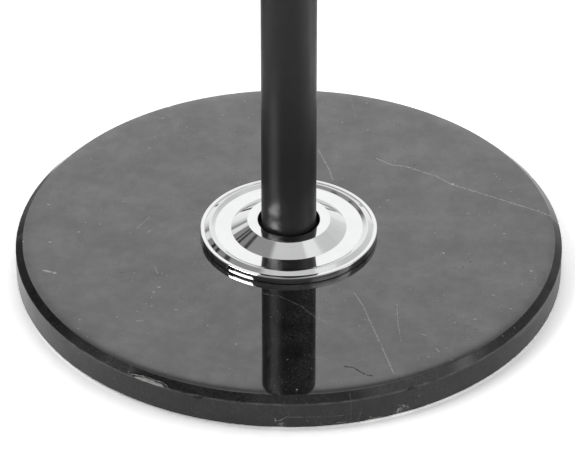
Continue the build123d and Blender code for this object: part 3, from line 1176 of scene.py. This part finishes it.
@dataclass
class TopKnob:
    """The cap over the tube and the ball finial on it. Lengths are in millimetres."""

    cap_low: float = 300.55
    cap_high: float = 307.05
    cap_radius: float = 13.925
    cap_rim_height: float = 2.0
    cap_rim_rounding: float = 0.6
    cap_step: float = 0.8
    cap_bulge: float = 1.2
    cap_parts: int = 16
    cap_flat: float = 8.0
    well: float = 10.725
    well_roof: float = 304.05
    well_rounding: float = 0.2
    hub: float = 6.225
    hub_low: float = 303.05
    stud_hole: float = 3.2
    foot: float = 7.4
    foot_high: float = 310.05
    foot_rounding: float = 0.5
    neck: float = 5.0
    neck_high: float = 312.55
    cove: float = 0.8
    ball: float = 14.0
    ball_parts: int = 34
    recess: float = 6.05
    recess_roof: float = 308.65
    thread_hole: float = 3.03
    thread_roof: float = 320.05
    steps: int = 288

    def cap_outline(self) -> Outline:
        """Half section of the cap.

        Returns:
            The outline, from its flat top through the hub and the well to the outside.
        """
        step_high = self.cap_low + self.cap_rim_height
        shape = Outline().to(self.cap_flat, self.cap_high).to(self.stud_hole, self.cap_high)
        shape.to(self.stud_hole, self.hub_low).to(self.hub, self.hub_low).to(self.hub, self.well_roof)
        shape.to(self.well, self.well_roof).to(self.well, self.cap_low, self.well_rounding)
        for height in (self.cap_low, step_high):
            shape.to(self.cap_radius, height, self.cap_rim_rounding)
        shape.to(self.cap_radius - self.cap_step, step_high)
        return shape.bulge(self.cap_flat, self.cap_high, self.cap_bulge, self.cap_parts)

    def finial_outline(self) -> Outline:
        """Half section of the finial.

        Returns:
            The outline, from the top of the ball to the roof of its threaded hole.
        """
        centre = self.neck_high + math.sqrt(self.ball**2 - self.neck**2)
        foot_angle = math.degrees(math.atan2(self.neck_high - centre, self.neck))
        shape = Outline()
        for step in range(self.ball_parts):
            angle = math.radians(90 + (foot_angle - 90) * step / self.ball_parts)
            shape.to(self.ball * math.cos(angle), centre + self.ball * math.sin(angle))
        shape.to(self.neck, self.neck_high, self.cove).to(self.neck, self.foot_high, self.cove)
        for height in (self.foot_high, self.cap_high):
            shape.to(self.foot, height, self.foot_rounding)
        shape.to(self.recess, self.cap_high).to(self.recess, self.recess_roof)
        shape.to(self.thread_hole, self.recess_roof).to(self.thread_hole, self.thread_roof)
        return shape.to(0.0, self.thread_roof)

    def build(self, chrome: Material) -> list[Piece]:
        """Build and dress the cap and the finial.

        Args:
            chrome: Finish of both.

        Returns:
            The cap and the finial.
        """
        made = []
        for name, node, outline, closed in (
            ("bright_cap", "top_cap", self.cap_outline(), True),
            ("bright_finial", "finial", self.finial_outline(), False),
        ):
            mesh = outline.turn(self.steps, closed)
            smooth_with_creases(mesh)
            piece = as_object(mesh, name)
            dress(piece, chrome)
            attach(piece, Body.STAND.value)
            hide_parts(node)
            made.append(piece)
        return made


@dataclass
class RodAndFixings:
    """The fixed rod and the small parts of its screw joints, whose solids stay as they are."""

    steel: tuple[str, ...] = ("spindle_rod",)
    zinc: tuple[str, ...] = ("clamp_washer", "spring_washer", "clamp_nut", "finial_spring_washer")
    nylon: tuple[str, ...] = ("centring_bush", "lower_thrust_washer", "upper_thrust_washer")
    fibre: tuple[str, ...] = ("fibre_washer",)

    def dress_all(self, materials: dict[str, Material]) -> list[str]:
        """Give every fixing its finish.

        Args:
            materials: Finish by the name of this class's field.

        Returns:
            The names of the dressed nodes.
        """
        done = []
        for kind, names in vars(self).items():
            for name in names:
                dress(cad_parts[name], materials[kind])
                done.append(name)
        return done


# Studio


@dataclass(frozen=True)
class LightCard:
    """A soft-edged card on the studio's walls: its place and half sizes in degrees, and how bright it is."""

    azimuth: float
    elevation: float
    half_width: float
    half_height: float
    softness: float
    strength: float


@dataclass(frozen=True)
class FloorShade:
    """A patch of painted shade (level below 1) or painted light (level above 1) on the mirrored floor: where
    it sets in, in millimetres, and its level.
    """

    x_start: float
    x_end: float
    y_start: float
    y_end: float
    level: float


@dataclass
class Studio:
    """Pale floor, white backdrop, soft light and camera. Lengths are in millimetres, angles in degrees."""

    floor_half: float = 3000.0
    floor_drop: float = 0.02
    floor_level: float = 0.7
    floor_seen_level: float = 1.9
    # Painted light: to the camera the floor in the gap under the stone's rim is far brighter, filling the
    # shadow that falls there.
    gap_lift: float = 6.8
    gap_outer: float = 95.2
    gap_outer_full: float = 91.8
    gap_inner_full: float = 90.0
    gap_inner: float = 86.0
    # Patches of painted shade and painted light on the floor, seen only in mirrors: lighter behind the stone,
    # darker towards the back on both sides, darker on the right near the stone and lighter further out there.
    floor_shades: tuple[FloorShade, ...] = (
        FloorShade(-3000, -2900, 55, 85, 1.9),
        FloorShade(-76, -98, 48, 75, 0.12),
        FloorShade(65, 95, 40, 75, 0.42),
        FloorShade(50, 100, 40, 5, 0.6),
        FloorShade(102, 118, 75, 45, 2.8),
    )
    mirror_glow: float = 0.5
    fade_start: float = 110.0
    fade_end: float = 350.0
    fade_level: float = 0.2
    ambient: float = 0.5
    diffuse_share: float = 0.75
    diffuse_top: float = 1.5
    cards: tuple[LightCard, ...] = (
        LightCard(30, 64, 70, 12, 5, 1.15),
        LightCard(80, 12, 45, 22, 7, 0.32),
        LightCard(58, 48, 36, 9, 4, 1.05),
        LightCard(118, 35, 28, 28, 7, 0.85),
        LightCard(122, 27, 28, 15, 4, 3.0),
        LightCard(38, 27, 9, 13, 4, 1.15),
        LightCard(48, 33, 9, 8, 3, 1.1),
        LightCard(0, 14, 31, 31, 6, 1.45),
        LightCard(0, 33, 9, 8, 6, 1.75),
        LightCard(-72, 12, 38, 26, 4, 0.1),
        LightCard(-80, 35, 16, 4, 3, 0.35),
        LightCard(-38, 24, 3.0, 9, 1.0, 1.35),
        LightCard(-50, 38, 9, 10, 2, 0.42),
        LightCard(-46, 41, 2.0, 7, 0.7, 0.02),
        LightCard(-51, 42, 1.2, 7, 0.5, 0.05),
        LightCard(-60, 47, 2, 6, 1.0, 0.1),
        LightCard(-56, 56, 5, 6, 2, 0.1),
        LightCard(180, 54, 40, 14, 10, 0.38),
        LightCard(-132, 50, 28, 14, 6, 0.17),
        LightCard(180, 20, 70, 16, 8, 0.5),
        LightCard(0, 90, 360, 16, 3, 1.05),
        LightCard(87, 67, 17, 7, 2, 1.45),
        LightCard(-117, 40, 14, 4.1, 1.2, 52.0),
        LightCard(-100, 38.7, 6, 1.5, 0.8, 95.0),
        LightCard(-125, 45, 9, 3.5, 1.2, 52.0),
    )
    key_azimuth: float = -117.0
    key_elevation: float = 58.0
    key_distance: float = 1300.0
    key_width: float = 650.0
    key_height: float = 320.0
    key_watts: float = 3.0
    aim: Place = (-0.45, 0.0, 17.24)
    distance: float = 1327.95
    elevation: float = 34.7147
    lens: float = 239.33
    sensor: float = 36.0

    def shade_of(self, graph: NodeGraph, place: Socket) -> Any:
        """Level of the mirrored floor, with its patches of painted shade and painted light.

        Args:
            graph: The floor's graph.
            place: Place on the floor in millimetres.

        Returns:
            The product of the parts' levels.
        """
        sides = graph.add("ShaderNodeSeparateXYZ", ((0, place),)).outputs
        shade: Any = 1.0
        for part in self.floor_shades:
            across = graph.ease(sides["X"], part.x_start, part.x_end)
            along = graph.ease(sides["Y"], part.y_start, part.y_end)
            level = graph.lerp(graph.math("MULTIPLY", across, along), 1.0, part.level)
            shade = graph.math("MULTIPLY", shade, level)
        return shade

    def build_floor(self) -> None:
        """A wide pale floor, white to the camera and glowing a little in mirrors, which keeps the shadow
        apart from painted light in the gap under the stone's rim, and shows patches of painted shade and
        painted light in mirrors.
        """
        mesh = bmesh.new()
        bmesh.ops.create_grid(
            mesh, x_segments=1, y_segments=1, size=self.floor_half * MM,
            matrix=Matrix.Translation((0, 0, -self.floor_drop * MM)),
        )
        floor = as_object(mesh, "pale_floor")
        material = bpy.data.materials.new("pale floor")
        material.use_nodes = True
        graph = NodeGraph(material.node_tree)
        shader = material.node_tree.nodes["Principled BSDF"]
        shader.inputs["Roughness"].default_value = 1.0
        shader.inputs["Specular IOR Level"].default_value = 0.0
        seen, mirrored = graph.rays()
        place = graph.in_millimetres()
        shade = self.shade_of(graph, place)
        reach = graph.vector("LENGTH", place)
        # Painted light in the gap under the stone's rim, seen by the camera only.
        gap = graph.ease(reach, self.gap_outer, self.gap_outer_full)
        gap = graph.math("MULTIPLY", gap, graph.ease(reach, self.gap_inner, self.gap_inner_full))
        seen_level = graph.math("MULTIPLY_ADD", gap, self.gap_lift, self.floor_seen_level)
        # In mirrors the floor's colour and glow carry the painted shade and painted light of its patches.
        level = graph.math("MULTIPLY", graph.lerp(mirrored, 1.0, shade), self.floor_level)
        graph.feed(shader.inputs["Base Color"], graph.lerp(seen, level, seen_level))
        fade = graph.ease(reach, self.fade_start, self.fade_end, 1.0, self.fade_level)
        glow = graph.math("MULTIPLY", graph.math("MULTIPLY", mirrored, self.mirror_glow), fade)
        shader.inputs["Emission Color"].default_value = grey(1.0)
        graph.feed(shader.inputs["Emission Strength"], graph.math("MULTIPLY", glow, shade))
        dress(floor, material)

    @staticmethod
    def build_card_group() -> Tree:
        """A soft box in azimuth and elevation.

        Returns:
            The group.
        """
        middle = "Middle Azimuth, Middle Elevation, Half Width, Half Height, Softness"
        graph, given, out = new_group("soft card", "Azimuth, Elevation, " + middle, "Mask")
        turn = graph.math("ABSOLUTE", graph.math("SUBTRACT", given["Azimuth"], given["Middle Azimuth"]))
        turn = graph.math("MINIMUM", turn, graph.math("SUBTRACT", 360.0, turn))
        tilt = graph.math("ABSOLUTE", graph.math("SUBTRACT", given["Elevation"], given["Middle Elevation"]))
        masks = []
        for off, half in ((turn, given["Half Width"]), (tilt, given["Half Height"])):
            outer = graph.math("ADD", half, given["Softness"])
            masks.append(graph.ease(off, outer, graph.math("SUBTRACT", half, given["Softness"])))
        graph.feed(out["Mask"], graph.math("MULTIPLY", *masks))
        return graph.tree

    def build_world(self) -> None:
        """White to the camera; to the rest, a white studio with its cards and dark corners."""
        world = bpy.data.worlds.new("studio")
        bpy.context.scene.world = world
        world.use_nodes = True
        graph = NodeGraph(world.node_tree)
        ray = graph.add("ShaderNodeTexCoord").outputs["Generated"]
        way = graph.add("ShaderNodeSeparateXYZ", ((0, ray),)).outputs
        azimuth = graph.math("DEGREES", graph.math("ARCTAN2", way["X"], way["Y"]))
        elevation = graph.math("DEGREES", graph.math("ARCSINE", way["Z"]))
        group = self.build_card_group()
        level: Any = self.ambient
        for card in self.cards:
            mask = graph.place(
                group, "Mask", azimuth=azimuth, elevation=elevation, middle_azimuth=card.azimuth,
                middle_elevation=card.elevation, half_width=card.half_width, half_height=card.half_height,
                softness=card.softness,
            )
            level = graph.lerp(mask, level, card.strength)
        seen, mirrored = graph.rays()
        soft = graph.math("MULTIPLY", graph.math("MINIMUM", level, self.diffuse_top), self.diffuse_share)
        level = graph.lerp(mirrored, soft, level)
        background = world.node_tree.nodes["Background"]
        background.inputs["Color"].default_value = grey(1.0)
        graph.feed(background.inputs["Strength"], graph.lerp(seen, level, 1.0))

    def build_key(self) -> None:
        """One wide soft lamp, in front on the left."""
        data = bpy.data.lights.new("key_softbox", "AREA")
        data.shape, data.energy = "RECTANGLE", self.key_watts
        data.size, data.size_y = self.key_width * MM, self.key_height * MM
        lamp = bpy.data.objects.new("key_softbox", data)
        turn, tilt = math.radians(self.key_azimuth), math.radians(self.key_elevation)
        way = Vector((math.sin(turn) * math.cos(tilt), math.cos(turn) * math.cos(tilt), math.sin(tilt)))
        lamp.location = way * self.key_distance * MM
        lamp.rotation_euler = (-way).to_track_quat("-Z", "Y").to_euler()
        lamp.visible_camera = lamp.visible_glossy = False
        bpy.context.scene.collection.objects.link(lamp)

    def build_camera(self) -> None:
        """The camera, in front of the holder and looking down at the base."""
        data = bpy.data.cameras.new("camera")
        data.lens, data.sensor_width = self.lens, self.sensor
        camera = bpy.data.objects.new("camera", data)
        tilt = math.radians(self.elevation)
        back = Vector((0, -math.cos(tilt), math.sin(tilt)))
        camera.location = (Vector(self.aim) + back * self.distance) * MM
        camera.rotation_euler = (-back).to_track_quat("-Z", "Y").to_euler()
        bpy.context.scene.collection.objects.link(camera)
        bpy.context.scene.camera = camera

    def build(self) -> None:
        """Set up everything round the object."""
        self.build_floor()
        self.build_world()
        self.build_key()
        self.build_camera()
        bpy.context.scene.view_settings.view_transform = "Standard"


def stone_finish() -> MarbleFinish:
    """The stone's finish, with its veins, scratches and crystal patches where they lie.

    Returns:
        The finish of the top, from which the wall's differs only in its gloss and polish.
    """
    flecks = (
        (-73.1, 0.7), (-82.8, -5.4), (-84.6, 17.6), (-46.1, -35.1), (-44.3, -32.2), (-38.2, -45.2),
        (62.9, 12.0), (75.0, -0.3), (74.1, -18.0), (69.6, -36.9), (62.8, -50.7), (83.1, -22.8),
        (-45.9, 73.2), (-50.1, 53.5),
    )
    fleck_half, fleck_width, fleck_strength = 0.25, 0.42, 0.7
    top = StoneBase.high
    return MarbleFinish(
        "black marble", index=1.32,
        veins=(
            Vein(((31.6, 46.7), (36.9, 42.5), (41.8, 41.6), (52.2, 35.6), (57.8, 30.1), (64.8, 26.3),
                  (79.1, 18.2), (96.0, 8.6)), 0.36, 0.62, 0.35),
            Vein(((10.5, 52.5), (14.3, 40.3), (15.7, 32.7)), 0.34, 0.42, 0.3),
            Vein(((22.5, 89.0), (24.4, 72.9)), 0.3, 0.16),
            Vein(((22.1, -35.2), (25.0, -42.6), (27.3, -52.0), (30.8, -65.4), (34.6, -81.0)), 0.28, 0.45),
            Vein(((36.7, -42.1), (36.7, -54.1), (37.5, -62.9)), 0.24, 0.35),
            Vein(((-8.8, -36.0), (-3.3, -37.4), (3.8, -42.9), (9.2, -49.8), (12.9, -52.7)), 0.26, 0.25),
            Vein(((20.0, -91.0), (21.2, -96.0)), 0.22, 0.3),
        ),
        cracks=(
            Vein(((18.5, -77.4), (21.4, -77.9), (23.2, -79.8), (25.3, -82.1), (27.4, -82.7)), 0.4, 0.9, 0.3),
        ),
        scratches=(
            Vein(((-83.9, -22.5, top), (-79.7, -24.2, top)), 0.8, 0.7),
            Vein(((-52.9, 3.0, top), (-48.4, 10.4, top)), 0.22, 0.4),
            Vein(((-49.3, 0.4, top), (-48.0, 2.2, top)), 0.25, 0.6, 0.2),
            Vein(((-51.1, -51.7, top), (-49.1, -51.7, top)), 0.35, 0.5, 0.2),
            Vein(((-46.0, -19.8, top), (-45.6, -22.2, top), (-44.9, -24.0, top)), 0.25, 0.45),
            Vein(((49.2, -67.4, top), (50.0, -69.0, top)), 0.35, 0.6, 0.2),
            Vein(((44.5, -59.2, top), (45.8, -60.1, top)), 0.28, 0.5, 0.2),
            Vein(((-4.6, -94.9, 4.6), (-2.9, -95.0, 4.6), (-1.0, -95.0, 6.1)), 0.28, 0.65),
            Vein(((-4.5, -94.9, 5.4), (-4.4, -94.9, 3.8)), 0.25, 0.6),
            Vein(((-1.0, -95.0, 6.1), (7.0, -94.7, 5.9), (18.0, -93.3, 5.4)), 0.2, 0.38),
            Vein(((-0.3, -95.0, 8.1), (0.3, -95.0, 6.8)), 0.2, 0.4),
            Vein(((15.5, -93.7, 2.6), (19.1, -93.1, 2.6)), 0.25, 0.5),
            Vein(((23.7, -92.0, 5.8), (23.0, -92.2, 2.8)), 0.2, 0.25),
            Vein(((27.0, -91.1, 2.5), (30.6, -89.9, 2.3)), 0.3, 0.6),
            Vein(((37.6, -87.2, 11.3), (46.3, -83.0, 11.3)), 0.3, 0.25),
            *(
                Vein(((x - fleck_half, y, top), (x + fleck_half, y, top)), fleck_width, fleck_strength, 0.0)
                for x, y in flecks
            ),
        ),
        blotches=(
            ((-2.2, -95.0, 2.6), 1.9, 0.55),
            ((37.4, -87.3, 2.8), 3.0, 1.0),
            ((57.8, 30.1, top), 1.0, 0.9),
            ((53.1, -12.3, top), 0.95, 0.9),
        ),
    )


def plain_finishes() -> dict[str, GrainedFinish]:
    """The finishes with one tone.

    Returns:
        Each finish by the kind of part that has it.
    """
    return {
        "coat": GrainedFinish(
            "black coating", index=1.36, tone=grey(0.030), worn=grey(0.036), rough_low=0.38, rough_high=0.43,
            fine=0.22, coarse=0.8, depth=0.02,
        ),
        # The dark bore is painted shade: it stands for the shade in the deep gap round the tube.
        "bore": GrainedFinish(
            "dark bore", tone=grey(0.006), worn=grey(0.012), rough_low=0.6, rough_high=0.8,
        ),
        "rubber": GrainedFinish(
            "black rubber", tone=grey(0.012), worn=grey(0.03), rough_low=0.7, rough_high=0.9,
        ),
        "steel": GrainedFinish(
            "plain steel", metallic=1.0, tone=grey(0.45, 0.01), worn=grey(0.33, 0.03), rough_low=0.25,
            rough_high=0.4, depth=0.01,
        ),
        "zinc": GrainedFinish(
            "zinc plate", metallic=1.0, tone=grey(0.55, -0.02), worn=grey(0.42), rough_low=0.3,
            rough_high=0.5, depth=0.012,
        ),
        "nylon": GrainedFinish(
            "white nylon", tone=grey(0.72, 0.02), worn=grey(0.62, 0.04), rough_low=0.4, rough_high=0.5,
            depth=0.01,
        ),
        "fibre": GrainedFinish(
            "red fibre", tone=(0.25, 0.03, 0.02, 1.0), worn=(0.16, 0.02, 0.015, 1.0), cloud_size=1.5,
            rough_low=0.6, rough_high=0.8,
        ),
    }


def main() -> None:
    """Build the finishes, the pieces and the studio, and report each piece."""
    logging.basicConfig(level=logging.INFO, format="%(relativeCreated)d ms %(name)s: %(message)s")
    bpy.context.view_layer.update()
    effects = SharedEffects()
    marble = stone_finish()
    stone = marble.material(effects)
    honed = replace(marble, name="honed marble edge", gloss=0.6, polish=0.3).material(effects)
    chrome = ChromeFinish("bright plating", metallic=1.0).material(effects)
    plain = {kind: finish.material(effects) for kind, finish in plain_finishes().items()}
    made = [
        StoneBase().build(stone, honed, plain["rubber"]),
        Rosette().build(chrome, plain["bore"], plain["rubber"]),
        TurningTube().build(plain["coat"], plain["nylon"]),
        *TopKnob().build(chrome),
    ]
    for piece in made:
        LOG.info("%s: %d faces", piece.name, len(piece.data.polygons))
    for name in RodAndFixings().dress_all(plain):
        LOG.info("%s: dressed", name)
    Studio().build()


if __name__ == "__main__":
    main()
